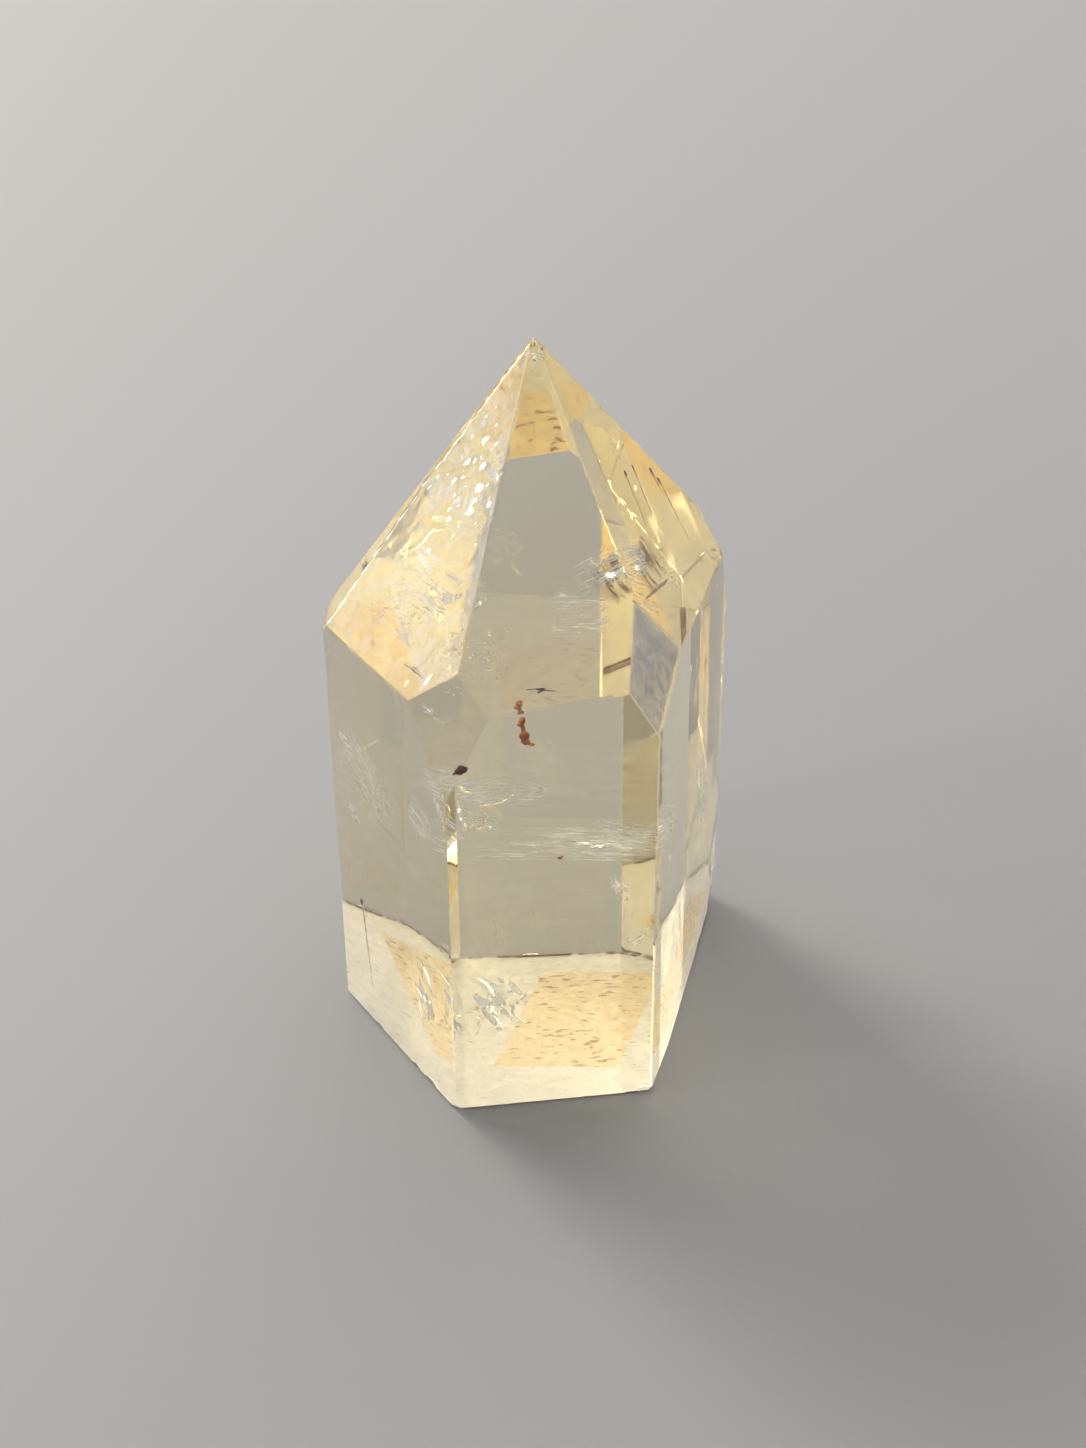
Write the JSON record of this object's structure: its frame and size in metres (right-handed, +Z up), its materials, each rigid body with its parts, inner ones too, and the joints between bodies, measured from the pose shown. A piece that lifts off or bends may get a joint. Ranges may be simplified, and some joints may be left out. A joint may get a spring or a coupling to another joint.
{
  "type": "citrine crystal point",
  "caption": "Clear pale-honey quartz crystal point with polished faces and a pointed tip, sawn flat underneath so that it stands upright.",
  "frame": {"origin": "middle of the footprint's box, on the flat base it stands on", "axes": "+Z up towards the tip, -Y towards the front face, +X to the viewer's right"},
  "size_m": [0.0433, 0.0462, 0.08],
  "materials": {
    "citrine": "clear polished quartz, pale honey yellow, with etched patches on the shoulder faces and veils inside"
  },
  "bodies": {
    "root": {"crystal_point": "citrine"}
  },
  "joints": []
}
